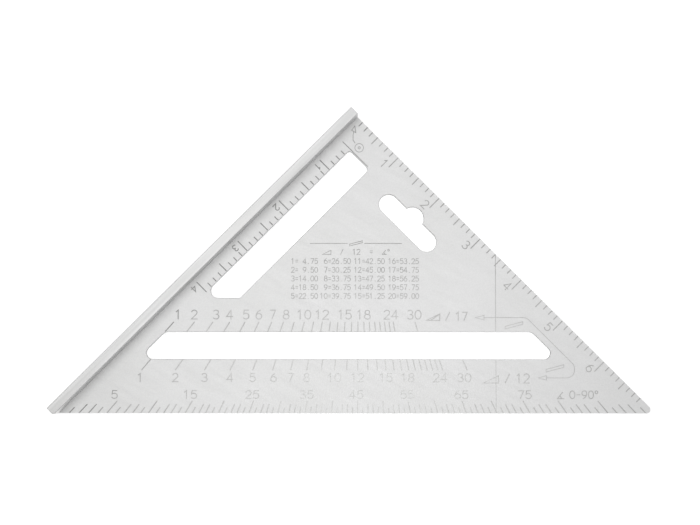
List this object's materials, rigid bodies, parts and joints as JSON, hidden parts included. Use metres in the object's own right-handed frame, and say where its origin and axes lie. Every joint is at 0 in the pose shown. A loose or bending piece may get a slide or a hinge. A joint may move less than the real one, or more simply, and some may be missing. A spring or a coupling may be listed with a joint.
{
  "type": "rafter square",
  "caption": "Right-angled triangular layout square: a flat slotted blade with engraved scales, let into a raised fence along one leg.",
  "frame": {"origin": "under the middle of the square, level with the lower edge of the fence", "axes": "+X along the long edge, towards the free tip; +Y from the long edge towards the right-angled corner; +Z square to the blade"},
  "size_m": [0.2618, 0.1334, 0.022],
  "materials": {
    "blade": "satin pale grey, matte-blasted, engraved scales",
    "fence": "satin pale grey, fine lines along the bar",
    "engraving": "darkened floor of the engraved marks"
  },
  "bodies": {
    "root": {"blade": "blade", "fence": "fence"}
  },
  "joints": []
}
